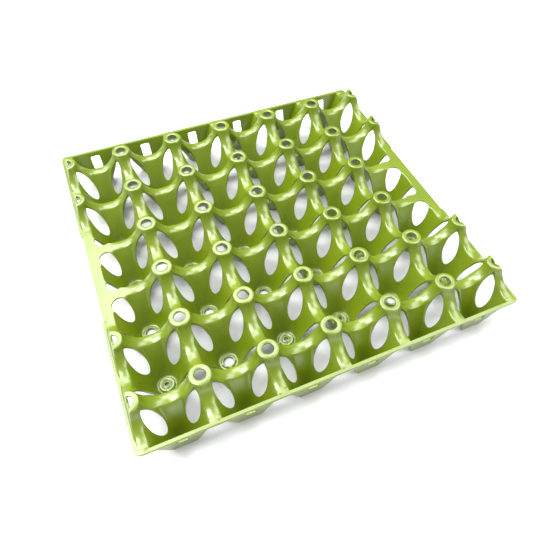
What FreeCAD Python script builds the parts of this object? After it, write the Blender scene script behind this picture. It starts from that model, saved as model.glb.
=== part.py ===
import FreeCAD, Part
import os
import Sketcher
from FreeCAD import Placement, Rotation, Vector

# Reusable tray for thirty eggs, injection moulded in one piece from glossy plastic, in millimetres.
# +Z is up and the floor that the tray stands on is z = 0. +X runs along the six columns from left to right,
# +Y along the five rows from front to rear, and the origin is under the middle of the tray.
#
# The moulding is divided into its regions, which meet face to face:
#   deck_row_a_left .. deck_row_f_right    ridges and hollow stacking posts above the cups, rear row first
#   cup_r1_c1 .. cup_r5_c6                 conical bowls under the deck, rear row first, left column first
#   rear_pocket_N, front_pocket_N          cut-off half cups between the outer posts and the rims
#   rim_front, rim_rear, rim_left, rim_right      the edge strip around the deck

SIZES = [
    ("pitch", 48.0, "distance between neighbouring cups, both ways"),
    ("post_top", 48.0, "height of the stacking posts and of the whole tray"),
    ("deck_top", 32.8, "top of the ridges half way between two posts, and of the rim"),
    ("wall", 1.5, "thickness of the plastic"),
    ("cup_base", 7.4, "inner radius of a cup's cone, carried down to the floor plane"),
    ("cup_slope", 0.383, "growth of a cup's radius per millimetre of height"),
    ("cup_reach", 42.0, "height up to which the cups' cones cut into the deck"),
    ("ring_hole", 3.9, "radius of the drain hole in a cup's floor"),
    ("ring_rim", 5.5, "outer radius of the raised ring around a drain hole"),
    ("ring_top", 3.2, "top of that ring"),
    ("boss_hole", 1.2, "radius of the small hole in a floor boss"),
    ("boss_rim", 6.0, "outer radius of a floor boss"),
    ("boss_top", 3.8, "top of a floor boss"),
    ("post_rim", 7.4, "outer radius of a post at its top"),
    ("post_hole", 4.1, "radius of the hole in a post's top"),
    ("flare_low", 32.5, "lowest level of the hollow curve that runs from a post's top into the ridges"),
    ("core_foot", 13.3, "radius of the hollow under a post, at the underside of the deck"),
    ("core_waist", 38.0, "height above which that hollow follows the post's outer curve"),
    ("edge_foot", 9.5, "radius of the hollow under a half post, at the underside of the deck"),
    ("edge_waist", 40.0, "height above which that hollow follows the half post's outer curve"),
    ("edge_cut", 143.5, "distance from the middle to the top of the half posts' outer wall, which slopes"),
    ("edge_inset", 0.3, "how far that wall's outline stays inside the post's curve"),
    ("tip", 9.7, "distance of a wall opening's pointed top from the nearest post's axis"),
    ("shoulder", 17.0, "distance of the widest place of the opening from that axis"),
    ("shoulder_half", 5.75, "half of the opening's greatest width"),
    ("tail", 21.5, "distance of the opening's round foot from that axis"),
    ("side_curve", 12.0, "radius of the opening's sides in plan"),
    ("inner_x", 146.7, "half width between the left and right rims"),
    ("outer_x", 149.4, "half width over the left and right rims"),
    ("inner_y", 147.3, "half depth between the front and rear rims"),
    ("outer_y", 150.4, "half depth over the front and rear rims"),
    ("corner", 4.5, "radius of the tray's four corners"),
    ("lip", 1.2, "width of the lip that hangs from the rim's outer edge"),
    ("lip_drop", 1.0, "depth of that lip below the deck"),
    ("grip_half", 44.0, "half length of the hand grip at the middle of each side"),
    ("grip_step", 1.4, "depth of the step in the rim at the hand grip"),
    ("wall_foot", 142.0, "half depth between the front and rear pocket walls at the floor"),
    ("overrun", 1.0, "how far a cut runs past the surface that it opens"),
    ("window_half", 4.1, "half width of a pocket window"),
    ("window_low", 14.5, "foot of a pocket window"),
    ("window_high", 27.8, "head of a pocket window"),
]

CUP_COLUMNS = 6
CUP_ROWS = 5
BOSS_COLUMNS = (1, 3, 4, 6)     # columns whose first and last cup have a boss instead of a drain ring
DECK_LETTERS = "abcdef"
GRIP_LETTERS = "cd"             # these two deck rows end in the flat hand grips, without half posts
LEFT_POSTS = (-2, 2)             # first whole post left of the row's joint, counted from the middle, and how many
RIGHT_POSTS = (0, 3)            # the same right of the joint, which lies half a pitch left of the middle

SKIN = "(sizes.deck_top - sizes.wall)"
HALF = "sizes.pitch / 2"
DIAGONAL = "(sizes.pitch / sqrt(2))"
SIDE_WALL = "(sizes.wall * sqrt(1 + sizes.cup_slope ^ 2))"
REACH = "(sizes.pitch / 2 - sizes.post_rim)"
RISE = "(sizes.post_top - sizes.flare_low)"
FLARE = f"(({REACH} ^ 2 + {RISE} ^ 2) / (2 * {RISE}))"
WALL_TURN = "(sizes.inner_y - 3 * sizes.pitch)"


def cup_radius(height):
    """Expression for a cup's inner radius at a height."""
    return f"(sizes.cup_base + sizes.cup_slope * {height})"


def flare_radius(height, inset="0"):
    """Expression for a post's radius at a height, less an inset measured square to its hollow curve."""
    return (f"(sizes.pitch / 2 - sqrt(({FLARE} + {inset}) ^ 2"
            f" - (sizes.flare_low + {FLARE} - {height}) ^ 2))")


def flare_height(radius, inset="0"):
    """Expression for the height at which a post has a radius, with the same inset."""
    return (f"(sizes.flare_low + {FLARE} - sqrt(({FLARE} + {inset}) ^ 2"
            f" - (sizes.pitch / 2 - {radius}) ^ 2))")


def make_sheet(doc):
    """The spreadsheet with every driving dimension."""
    sheet = doc.addObject("Spreadsheet::Sheet", "sizes")
    for row, (alias, value, meaning) in enumerate(SIZES, start=1):
        sheet.set(f"A{row}", alias)
        sheet.set(f"B{row}", str(value))
        sheet.set(f"C{row}", meaning)
        sheet.setAlias(f"B{row}", alias)
    doc.recompute()
    return sheet


def value_of(owner, expression):
    """Present value of an expression, as a plain number."""
    result = owner.evalExpression(str(expression))
    return float(getattr(result, "Value", result))


def make_body(doc, name, x="0", y="0"):
    """An empty body whose own origin stands at x, y on the floor plane."""
    body = doc.addObject("PartDesign::Body", name)
    body.Label = name
    body.Placement = Placement(Vector(value_of(body, x), value_of(body, y), 0), Rotation())
    body.setExpression("Placement.Base.x", x)
    body.setExpression("Placement.Base.y", y)
    return body


def make_sketch(body, name, plane, shift=(0, 0, 0), turn=0.0):
    """A sketch on one of the body's own origin planes, shifted and turned within that plane."""
    sketch = body.newObject("Sketcher::SketchObject", name)
    support = [feature for feature in body.Origin.OriginFeatures if feature.Role == plane][0]
    sketch.AttachmentSupport = (support, [""])
    sketch.MapMode = "FlatFace"
    sketch.AttachmentOffset = Placement(Vector(*[value_of(body, part) for part in shift]),
                                        Rotation(Vector(0, 0, 1), turn))
    for axis, part in zip("xyz", shift):
        if part != 0:
            sketch.setExpression(f"AttachmentOffset.Base.{axis}", part)
    return sketch


def bulge_centre(start, end, radius):
    """Centre of the arc from start to end: on its left for a radius above 0, on its right below 0."""
    chord = end - start
    middle = (start + end) * 0.5
    left = Vector(-chord.y, chord.x, 0).normalize()
    reach = max(radius ** 2 - (chord.Length / 2) ** 2, 0) ** 0.5
    return middle + left * (reach if radius > 0 else -reach)


def draw(sketch, corners):
    """Adds a closed outline. Each corner is (x, y), or (x, y, radius) where an arc leads to the next corner;
    the arc's centre is on the left of the way there, or on the right where the radius has a minus sign."""
    first_edge = sketch.GeometryCount
    count = len(corners)
    points = [Vector(value_of(sketch, corner[0]), value_of(sketch, corner[1]), 0) for corner in corners]
    backwards = []
    for index, corner in enumerate(corners):
        start = points[index]
        end = points[(index + 1) % count]
        radius = value_of(sketch, corner[2]) if len(corner) == 3 else 0
        backwards.append(radius < 0)
        if radius == 0:
            sketch.addGeometry(Part.LineSegment(start, end))
            continue
        first, last = (end, start) if radius < 0 else (start, end)
        circle = Part.Circle(bulge_centre(start, end, radius), Vector(0, 0, 1), abs(radius))
        sketch.addGeometry(Part.ArcOfCircle(circle, circle.parameter(first), circle.parameter(last)))
    for index, corner in enumerate(corners):
        edge = first_edge + index
        following = first_edge + (index + 1) % count
        start_end, far_end = (2, 1) if backwards[index] else (1, 2)
        next_start = 2 if backwards[(index + 1) % count] else 1
        sketch.addConstraint(Sketcher.Constraint("Coincident", edge, far_end, following, next_start))
        point = points[index]
        place = sketch.addConstraint(Sketcher.Constraint("DistanceX", edge, start_end, point.x))
        sketch.setExpression(f"Constraints[{place}]", corner[0])
        place = sketch.addConstraint(Sketcher.Constraint("DistanceY", edge, start_end, point.y))
        sketch.setExpression(f"Constraints[{place}]", corner[1])
        if len(corner) == 3:
            radius = f"abs({corner[2]})"
            place = sketch.addConstraint(Sketcher.Constraint("Radius", edge, value_of(sketch, radius)))
            sketch.setExpression(f"Constraints[{place}]", radius)


def mirrored(corners):
    """The same closed outline on the other side of the sketch's vertical axis."""
    return [(f"-({corner[0]})",) + corner[1:] for corner in corners]


def turned(body, kind, name, sketch):
    """A full turn of a sketch about its own vertical axis: a Revolution adds, a Groove cuts."""
    feature = body.newObject(f"PartDesign::{kind}", name)
    feature.Profile = sketch
    feature.ReferenceAxis = (sketch, ["V_Axis"])
    feature.Angle = 360
    return feature


def raised(body, kind, name, sketch, length, reverse=False):
    """A straight Pad along the sketch's normal, or a Pocket against it; reverse turns either round."""
    feature = body.newObject(f"PartDesign::{kind}", name)
    feature.Profile = sketch
    feature.Length = value_of(body, length)
    feature.setExpression("Length", length)
    feature.Reversed = reverse
    return feature


def in_line(body, name, feature, direction, count):
    """Repeats a feature along an axis, one pitch apart."""
    pattern = body.newObject("PartDesign::LinearPattern", name)
    pattern.Originals = [feature]
    pattern.Direction = direction
    pattern.Occurrences = count
    pattern.Length = value_of(body, f"sizes.pitch * {count - 1}")
    pattern.setExpression("Length", f"sizes.pitch * {count - 1}")
    body.Tip = pattern
    return pattern


def around(body, name, feature, axis, count):
    """Repeats a feature around an axis."""
    pattern = body.newObject("PartDesign::PolarPattern", name)
    pattern.Originals = [feature]
    pattern.Axis = axis
    pattern.Angle = 360
    pattern.Occurrences = count
    body.Tip = pattern
    return pattern


def opening_outline(from_post):
    """Plan of an opening in a cup's wall, along the line between the cup and a post, which is the sketch's
    x axis. It is pointed towards the post and round towards the cup."""
    foot = "((sizes.shoulder_half ^ 2 + (sizes.tail - sizes.shoulder) ^ 2) / 2 / (sizes.tail - sizes.shoulder))"
    if from_post:
        return [
            ("sizes.tip", "0", "sizes.side_curve"),
            ("sizes.shoulder", "-sizes.shoulder_half", foot),
            ("sizes.shoulder", "sizes.shoulder_half", "sizes.side_curve"),
        ]
    return [
        (f"{DIAGONAL} - sizes.tip", "0", "sizes.side_curve"),
        (f"{DIAGONAL} - sizes.shoulder", "sizes.shoulder_half", foot),
        (f"{DIAGONAL} - sizes.shoulder", "-sizes.shoulder_half", "sizes.side_curve"),
    ]


def bowl_outline(floor):
    """Half section of a cup's wall and floor, from the floor plane to the underside of the deck."""
    wall_up = [
        (f"{cup_radius('0')} + {SIDE_WALL}", "0"),
        (f"{cup_radius(SKIN)} + {SIDE_WALL}", SKIN),
        (cup_radius(SKIN), SKIN),
        (cup_radius("sizes.wall"), "sizes.wall"),
    ]
    if floor == "plain":
        return [("0", "0")] + wall_up + [("0", "sizes.wall")]
    return [(f"sizes.{floor}_hole", "0")] + wall_up + [
        (f"sizes.{floor}_rim", "sizes.wall"),
        (f"sizes.{floor}_rim", f"sizes.{floor}_top"),
        (f"sizes.{floor}_hole", f"sizes.{floor}_top"),
    ]


def make_cup(doc, row, column):
    """One egg cup under the deck, with its floor ring or boss and its four wall openings."""
    floor = "boss" if row in (1, CUP_ROWS) and column in BOSS_COLUMNS else "ring"
    across = column - (CUP_COLUMNS + 1) / 2
    back = (CUP_ROWS + 1) / 2 - row
    body = make_body(doc, f"cup_r{row}_c{column}", f"sizes.pitch * {across}", f"sizes.pitch * {back}")
    section = make_sketch(body, "BowlSection", "XZ_Plane")
    draw(section, bowl_outline(floor))
    turned(body, "Revolution", "Bowl", section)
    plan = make_sketch(body, "OpeningPlan", "XY_Plane", turn=45)
    draw(plan, opening_outline(from_post=False))
    opening = raised(body, "Pocket", "Opening", plan, SKIN, reverse=True)
    around(body, "Openings", opening, (plan, ["N_Axis"]), 4)
    return body


def pocket_wall_outline(depth, far):
    """Section of the space from a pocket wall's face, depth inside the wall, to a line far from it."""
    return [
        (f"sizes.wall_foot - 3 * sizes.pitch + {depth}", "0"),
        (far, "0"),
        (far, SKIN),
        (f"{WALL_TURN} + {depth}", SKIN),
    ]


def make_pocket(doc, name, column, front):
    """A cup cut off by the front or rear wall, which slopes inwards to the floor and has a window."""
    across = column - (CUP_COLUMNS + 1) / 2
    side = -3 if front else 3
    body = make_body(doc, name, f"sizes.pitch * {across}", f"sizes.pitch * {side}")
    if front:
        body.Placement = Placement(body.Placement.Base, Rotation(Vector(0, 0, 1), 180))
    plate = make_sketch(body, "WallPlate", "XZ_Plane", shift=(0, 0, "-sizes.pitch / 4"))
    low = f"{cup_radius('0')} + sizes.wall / 2"
    high = f"{cup_radius(SKIN)} + sizes.wall / 2"
    draw(plate, [(f"-({low})", "0"), (low, "0"), (high, SKIN), (f"-({high})", SKIN)])
    raised(body, "Pad", "WallBlock", plate, "sizes.pitch / 3")
    inside = make_sketch(body, "InsideOfWall", "YZ_Plane", shift=(0, 0, "sizes.pitch / 2"))
    draw(inside, pocket_wall_outline("0", "-sizes.pitch / 2")[::-1])
    raised(body, "Pocket", "InsideCut", inside, "sizes.pitch")
    section = make_sketch(body, "BowlSection", "XZ_Plane")
    draw(section, bowl_outline("plain"))
    turned(body, "Revolution", "Bowl", section)
    outside = make_sketch(body, "OutsideOfWall", "YZ_Plane", shift=(0, 0, "sizes.pitch / 2"))
    draw(outside, pocket_wall_outline("sizes.wall", "sizes.pitch / 2"))
    raised(body, "Pocket", "OutsideCut", outside, "sizes.pitch")
    window = make_sketch(body, "WindowOutline", "XZ_Plane", shift=(0, 0, "-sizes.pitch / 4"))
    round_corner = "sizes.wall"
    inner = "sizes.window_half - sizes.wall"
    low_turn = "sizes.window_low + sizes.wall"
    high_turn = "sizes.window_high - sizes.wall"
    draw(window, [
        (f"-({inner})", "sizes.window_low"), (inner, "sizes.window_low", round_corner),
        ("sizes.window_half", low_turn), ("sizes.window_half", high_turn, round_corner),
        (inner, "sizes.window_high"), (f"-({inner})", "sizes.window_high", round_corner),
        ("-sizes.window_half", high_turn), ("-sizes.window_half", low_turn, round_corner),
    ])
    raised(body, "Pocket", "Window", window, "sizes.pitch / 3", reverse=True)
    for turn, label in ((-45, "Right"), (-135, "Left")):
        plan = make_sketch(body, f"{label}OpeningPlan", "XY_Plane", turn=turn)
        draw(plan, opening_outline(from_post=False))
        raised(body, "Pocket", f"{label}Opening", plan, SKIN, reverse=True)
    return body


def post_outline():
    """Half section of a solid post with its hollow curve down to the ridge."""
    foot = flare_radius("sizes.deck_top")
    return [
        ("0", SKIN),
        (foot, SKIN),
        (foot, "sizes.deck_top", f"-{FLARE}"),
        ("sizes.post_rim", "sizes.post_top"),
        ("0", "sizes.post_top"),
    ]


def core_outline(kind):
    """Half section of the hollow under a post (kind core) or a half post (kind edge), with its top hole."""
    under_top = "(sizes.post_top - sizes.wall)"
    waist = f"sizes.{kind}_waist"
    return [
        ("0", f"{SKIN} - sizes.overrun"),
        (f"sizes.{kind}_foot", f"{SKIN} - sizes.overrun"),
        (f"sizes.{kind}_foot", SKIN),
        (flare_radius(waist, "sizes.wall"), waist, f"-({FLARE} + sizes.wall)"),
        (flare_radius(under_top, "sizes.wall"), under_top),
        ("sizes.post_hole", under_top),
        ("sizes.post_hole", "sizes.post_top + sizes.overrun"),
        ("0", "sizes.post_top + sizes.overrun"),
    ]


def end_wall_outline():
    """Outline of the flat wall that closes a half post, seen along X."""
    half = "(sizes.edge_foot + sizes.edge_inset)"
    shoulder = flare_height(half, "sizes.edge_inset")
    top = flare_radius("sizes.post_top", "sizes.edge_inset")
    bend = f"-({FLARE} + sizes.edge_inset)"
    return [
        (f"-{half}", SKIN),
        (half, SKIN),
        (half, shoulder, bend),
        (top, "sizes.post_top"),
        (f"-{top}", "sizes.post_top", bend),
        (f"-{half}", shoulder),
    ]


def box_outline(low_x, high_x, low_y, high_y):
    """A rectangle."""
    return [(low_x, low_y), (high_x, low_y), (high_x, high_y), (low_x, high_y)]


def add_posts(body, name, first, count, kind):
    """Adds hollow posts along the row, the first one a number of pitches from the middle."""
    place = f"{first} * sizes.pitch"
    post = make_sketch(body, f"{name}Section", "XZ_Plane", shift=(place, 0, 0))
    draw(post, post_outline())
    solid = turned(body, "Revolution", name, post)
    along = (post, ["H_Axis"])
    if count > 1:
        in_line(body, f"{name}Row", solid, along, count)
    core = make_sketch(body, f"{name}CoreSection", "XZ_Plane", shift=(place, 0, 0))
    draw(core, core_outline(kind))
    hollow = turned(body, "Groove", f"{name}Core", core)
    if count > 1:
        in_line(body, f"{name}CoreRow", hollow, along, count)


def close_half_post(body, left):
    """Closes the half post at the row's outer end with a wall that slopes out to the rim."""
    wall = make_sketch(body, "EndWallOutline", "YZ_Plane",
                       shift=(0, 0, "-sizes.inner_x" if left else "sizes.edge_cut - sizes.wall"))
    draw(wall, end_wall_outline())
    raised(body, "Pad", "EndWall", wall, "sizes.inner_x - sizes.edge_cut + sizes.wall")
    far = "sizes.pitch * 3.5"
    above = [
        ("sizes.edge_cut", "sizes.post_top"), ("sizes.inner_x", "sizes.deck_top"), (far, "sizes.deck_top"),
        (far, "sizes.post_top + sizes.overrun"), ("sizes.edge_cut", "sizes.post_top + sizes.overrun"),
    ]
    slope = make_sketch(body, "EndSlope", "XZ_Plane", shift=(0, 0, "-sizes.pitch / 2"))
    draw(slope, mirrored(above) if left else above)
    raised(body, "Pocket", "EndSlopeCut", slope, "sizes.pitch", reverse=True)
    rim_side = box_outline("sizes.inner_x", far, "-sizes.pitch / 2", "sizes.pitch / 2")
    below = make_sketch(body, "RimPlan", "XY_Plane")
    draw(below, mirrored(rim_side) if left else rim_side)
    raised(body, "Pocket", "RimCut", below, "sizes.deck_top", reverse=True)


def make_deck_row(doc, index, left):
    """The left or right part of one row of the deck: ridge tops between the cups, with stacking posts."""
    letter = DECK_LETTERS[index]
    back = (len(DECK_LETTERS) - 1) / 2 - index
    body = make_body(doc, f"deck_row_{letter}_{'left' if left else 'right'}", "0", f"sizes.pitch * {back}")
    to_rim = f"sizes.inner_y - sizes.pitch * {(len(DECK_LETTERS) - 1) / 2}"
    rear_edge = to_rim if index == 0 else HALF
    front_edge = f"-({to_rim})" if index == len(DECK_LETTERS) - 1 else f"-{HALF}"
    ends = ("-sizes.inner_x", f"-{HALF}") if left else (f"-{HALF}", "sizes.inner_x")
    strip = make_sketch(body, "StripPlan", "XY_Plane", shift=(0, 0, SKIN))
    draw(strip, box_outline(*ends, front_edge, rear_edge))
    raised(body, "Pad", "Strip", strip, "sizes.wall")
    first_post, posts = LEFT_POSTS if left else RIGHT_POSTS
    has_half_post = letter not in GRIP_LETTERS
    if has_half_post:
        add_posts(body, "HalfPost", -3 if left else 3, 1, "edge")
        close_half_post(body, left)
    add_posts(body, "Post", first_post, posts, "core")
    for label, side in (("Rear", 1), ("Front", -1)):
        mouth = make_sketch(body, f"{label}MouthSection", "XZ_Plane",
                            shift=(f"{first_post - 0.5} * sizes.pitch", 0, f"{-side} * sizes.pitch / 2"))
        draw(mouth, [
            ("0", f"{SKIN} - sizes.overrun"),
            (cup_radius(f"({SKIN} - sizes.overrun)"), f"{SKIN} - sizes.overrun"),
            (cup_radius("sizes.cup_reach"), "sizes.cup_reach"),
            ("0", "sizes.cup_reach"),
        ])
        cut = turned(body, "Groove", f"{label}Mouth", mouth)
        in_line(body, f"{label}Mouths", cut, (mouth, ["H_Axis"]), posts + 1)
    if has_half_post:
        first_post -= 1 if left else 0
        posts += 1
    for turn in (45, 135, 225, 315):
        plan = make_sketch(body, f"Opening{turn}Plan", "XY_Plane",
                           shift=(f"{first_post} * sizes.pitch", 0, SKIN), turn=turn)
        draw(plan, opening_outline(from_post=True))
        cut = raised(body, "Pocket", f"Opening{turn}", plan, "sizes.post_top - sizes.flare_low", reverse=True)
        axis = [item for item in body.Origin.OriginFeatures if item.Role == "X_Axis"][0]
        in_line(body, f"Opening{turn}Row", cut, (axis, [""]), posts)
    return body


def make_end_rim(doc, name, front):
    """The front or rear rim with both rounded corners and the lip under its outer edge."""
    body = make_body(doc, name)
    if front:
        body.Placement = Placement(Vector(), Rotation(Vector(0, 0, 1), 180))
    turn_x = "(sizes.outer_x - sizes.corner)"
    turn_y = "(sizes.outer_y - sizes.corner)"
    outer = [
        ("sizes.outer_x", turn_y, "sizes.corner"),
        (turn_x, "sizes.outer_y"),
        (f"-{turn_x}", "sizes.outer_y", "sizes.corner"),
        ("-sizes.outer_x", turn_y),
    ]
    strip = make_sketch(body, "StripPlan", "XY_Plane", shift=(0, 0, SKIN))
    draw(strip, outer + [
        ("-sizes.inner_x", turn_y), ("-sizes.inner_x", "sizes.inner_y"),
        ("sizes.inner_x", "sizes.inner_y"), ("sizes.inner_x", turn_y),
    ])
    raised(body, "Pad", "Strip", strip, "sizes.wall")
    lip = make_sketch(body, "LipPlan", "XY_Plane", shift=(0, 0, f"{SKIN} - sizes.lip_drop"))
    inner_bend = "-(sizes.corner - sizes.lip)"
    draw(lip, outer + [
        ("-(sizes.outer_x - sizes.lip)", turn_y, inner_bend),
        (f"-{turn_x}", "sizes.outer_y - sizes.lip"),
        (turn_x, "sizes.outer_y - sizes.lip", inner_bend),
        ("sizes.outer_x - sizes.lip", turn_y),
    ])
    raised(body, "Pad", "Lip", lip, "sizes.lip_drop")
    return body


def side_outline(inner):
    """Plan of a side rim on +X, stepped inwards at the hand grip; inner is its inner edge's distance."""
    end = "(sizes.outer_y - sizes.corner)"
    grip = "sizes.outer_x - sizes.grip_step"
    return [
        (inner[0], f"-{end}"), ("sizes.outer_x", f"-{end}"),
        ("sizes.outer_x", "-sizes.grip_half"), (grip, "-sizes.grip_half"),
        (grip, "sizes.grip_half"), ("sizes.outer_x", "sizes.grip_half"),
        ("sizes.outer_x", end), (inner[0], end),
    ] + inner[1:]


def make_side_rim(doc, name, left):
    """The left or right rim, stepped inwards at the hand grip, with the lip under its outer edge."""
    body = make_body(doc, name)
    if left:
        body.Placement = Placement(Vector(), Rotation(Vector(0, 0, 1), 180))
    strip = make_sketch(body, "StripPlan", "XY_Plane", shift=(0, 0, SKIN))
    draw(strip, side_outline(["sizes.inner_x"]))
    raised(body, "Pad", "Strip", strip, "sizes.wall")
    lip = make_sketch(body, "LipPlan", "XY_Plane", shift=(0, 0, f"{SKIN} - sizes.lip_drop"))
    wide = "sizes.outer_x - sizes.lip"
    narrow = "sizes.outer_x - sizes.grip_step - sizes.lip"
    draw(lip, side_outline([wide, (wide, "sizes.grip_half + sizes.lip"), (narrow, "sizes.grip_half"),
                            (narrow, "-sizes.grip_half"), (wide, "-sizes.grip_half - sizes.lip")]))
    raised(body, "Pad", "Lip", lip, "sizes.lip_drop")
    return body


def build(doc):
    """Every region of the tray, as a list of bodies."""
    make_sheet(doc)
    bodies = [make_deck_row(doc, index, left) for index in range(len(DECK_LETTERS)) for left in (True, False)]
    for row in range(1, CUP_ROWS + 1):
        for column in range(1, CUP_COLUMNS + 1):
            bodies.append(make_cup(doc, row, column))
    for column in range(1, CUP_COLUMNS + 1):
        bodies.append(make_pocket(doc, f"rear_pocket_{column}", column, front=False))
        bodies.append(make_pocket(doc, f"front_pocket_{column}", column, front=True))
    bodies.append(make_end_rim(doc, "rim_rear", front=False))
    bodies.append(make_end_rim(doc, "rim_front", front=True))
    bodies.append(make_side_rim(doc, "rim_right", left=False))
    bodies.append(make_side_rim(doc, "rim_left", left=True))
    return bodies


def check(doc, bodies):
    """Stops unless every object is sound and every region is one valid solid."""
    for item in doc.Objects:
        if "Invalid" in item.State or "Error" in item.State:
            raise RuntimeError(f"{item.Name} ({item.Label}) failed: {item.State}")
    for body in bodies:
        shape = body.Shape
        if shape.isNull() or not shape.isValid() or len(shape.Solids) != 1:
            raise RuntimeError(f"{body.Label} is not one valid solid: {len(shape.Solids)}")


def main():
    doc = FreeCAD.newDocument("egg_tray")
    bodies = build(doc)
    doc.recompute()
    check(doc, bodies)
    os.makedirs("parts", exist_ok=True)
    for body in bodies:
        body.Shape.exportStep(f"parts/{body.Label}.step")
        box = body.Shape.BoundBox
        print(f"{body.Label:16s} {body.Shape.Volume:9.1f} mm3  x {box.XMin:7.1f} {box.XMax:7.1f}"
              f"  y {box.YMin:7.1f} {box.YMax:7.1f}  z {box.ZMin:5.1f} {box.ZMax:5.1f}")
    print(f"{len(bodies)} regions, {sum(body.Shape.Volume for body in bodies):.0f} mm3 in all")


main()
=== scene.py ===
import math

import bpy
import numpy as np
from mathutils import Matrix, Vector
from mathutils.geometry import delaunay_2d_cdt


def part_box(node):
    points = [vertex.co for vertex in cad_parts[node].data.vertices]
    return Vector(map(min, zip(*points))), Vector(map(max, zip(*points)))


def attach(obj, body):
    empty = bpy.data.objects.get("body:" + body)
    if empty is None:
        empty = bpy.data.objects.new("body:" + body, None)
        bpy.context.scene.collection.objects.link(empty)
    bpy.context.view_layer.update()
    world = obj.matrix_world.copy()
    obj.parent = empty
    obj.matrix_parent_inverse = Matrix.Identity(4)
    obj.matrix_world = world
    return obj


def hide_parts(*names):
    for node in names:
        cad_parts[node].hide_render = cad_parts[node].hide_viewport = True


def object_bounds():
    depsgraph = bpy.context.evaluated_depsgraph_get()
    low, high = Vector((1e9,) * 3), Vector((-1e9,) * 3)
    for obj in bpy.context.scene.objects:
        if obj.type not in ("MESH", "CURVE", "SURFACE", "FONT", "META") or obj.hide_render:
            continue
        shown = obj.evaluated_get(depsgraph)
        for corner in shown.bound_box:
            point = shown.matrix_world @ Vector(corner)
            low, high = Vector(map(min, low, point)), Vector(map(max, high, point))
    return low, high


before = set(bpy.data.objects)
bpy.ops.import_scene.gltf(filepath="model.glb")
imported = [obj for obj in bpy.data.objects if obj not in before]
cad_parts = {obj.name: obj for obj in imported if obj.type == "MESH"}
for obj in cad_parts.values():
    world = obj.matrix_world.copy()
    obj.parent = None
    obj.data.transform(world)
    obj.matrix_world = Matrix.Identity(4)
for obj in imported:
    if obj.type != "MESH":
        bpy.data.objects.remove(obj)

# A reusable tray for thirty eggs, injection moulded in one piece from glossy lime green plastic.
#
# The moulding is one continuous skin: every point (x, y) of the plan has the height of its upper surface and
# of its lower surface, given by upper_height and lower_height below. Each piece is a stretch of that skin,
# triangulated in plan, with rounded edges where the plastic really ends and plain cuts where it meets the
# next piece. The sizes in this file are in millimetres, in the frame's axes, and the meshes are in metres.

MM = 0.001
CAD_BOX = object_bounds()


def box_mm(node):
    """Lowest and highest corner of a CAD node, in millimetres."""
    low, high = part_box(node)
    return np.array(low) / MM, np.array(high) / MM


def middle_mm(node):
    low, high = box_mm(node)
    return (low + high) / 2


# ---------------------------------------------------------------- sizes taken from the frame
OUTER_X, OUTER_Y, POST_TOP = (value / MM for value in CAD_BOX[1])
LIP_BOTTOM, DECK_TOP = box_mm("rim_rear")[0][2], box_mm("rim_rear")[1][2]
SKIN = box_mm("cup_r1_c1")[1][2]
WALL = DECK_TOP - SKIN
PITCH = middle_mm("cup_r1_c2")[0] - middle_mm("cup_r1_c1")[0]
CUP_OUTER = (box_mm("cup_r1_c1")[1][0] - box_mm("cup_r1_c1")[0][0]) / 2
COLUMNS = 6
ROWS = 5
HALF = PITCH / 2

# ---------------------------------------------------------------- the moulding's own sizes
CUP_SLOPE = 0.383            # growth of a cup's radius per millimetre of height
SIDE_WALL = WALL * math.hypot(1, CUP_SLOPE)
CUP_BASE = CUP_OUTER - SIDE_WALL - CUP_SLOPE * SKIN
ROUND_BELOW = 8.0            # a cup is round up to this radius and turns octagonal above it
OCTAGON_GROWTH = 9.0
OCTAGON_POWER = 28           # the higher it is, the sharper are the octagon's corners
FLOOR_FILLET = 3.0
CREASE_FILLET = 1.7          # rounds the edge between the ridges and the cups
UNDER_FLOOR_FILLET = 2.0     # the same two on the underside
UNDER_CREASE_FILLET = 1.6

POST_RIM = 7.9               # radii of a post's top and of the hole in it
POST_HOLE = 4.1
RING_MIDDLE = 5.9            # the post's top ring is highest on this radius
RING_CROWN = 0.10            # how quickly it falls off from there
RING_END = 9.5               # it falls no further outside this radius
RING_FILLET = 1.7
FLARE_LOW = 32.5             # lowest level of the curve that runs from a post's top into the ridges
FLARE_RISE = POST_TOP - FLARE_LOW
FLARE_RADIUS = ((HALF - POST_RIM) ** 2 + FLARE_RISE ** 2) / (2 * FLARE_RISE)
FLARE_SHARE = 0.985          # the curve is followed over this share of its radius, then goes on straight
RIDGE_CROWN = 0.05           # how quickly a ridge falls off to its sides
CROWN_START, CROWN_GROWTH = 9.0, 8.0
GRIP_START = 2.5 * PITCH     # beyond this the ridges flatten into the hand grips
GRIP_GROWTH = 10.0
GRIP_END, GRIP_FADE = PITCH + 4, 8.0     # the grips end at this distance from the middle

RIM_WIDTH = 3.0              # the edge strip, a little lower than the ridges
RIM_STEP, RIM_STEP_RAMP = 0.4, 0.6
RIM_CUT = 1.5                # distance from the edge where the rim pieces begin
RIM_LEVEL = FLARE_LOW - RIM_STEP
RIM_BLEND = 8.1              # distance from the edge where ridges begin to level out to the rim
RIM_BLEND_RAMP = 3.0
RIM_FILLET = 0.8
RIM_ROUND = 0.55
LIP = 1.2
CORNER = 4.5                 # radius of the tray's corners
GRIP_HALF, GRIP_STEP, GRIP_RAMP = 44.0, 1.4, 1.2

END_TOP = 143.8              # the half posts' outer walls start here and slope out to the rim
END_SLOPE = 4.75
END_FILLET = 1.2
END_HOLE = 142.8             # flat side of a half post's hole

POCKET_FOOT = 142.0          # the front and rear walls start here and slope out to the rim
POCKET_SLOPE = 5.906
POCKET_SKIN = WALL * math.hypot(1, 1 / POCKET_SLOPE)
POCKET_FILLET = 2.0
WINDOW_HALF, WINDOW_LOW, WINDOW_HIGH, WINDOW_ROUND = 4.1, 14.5, 27.8, 1.5

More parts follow.
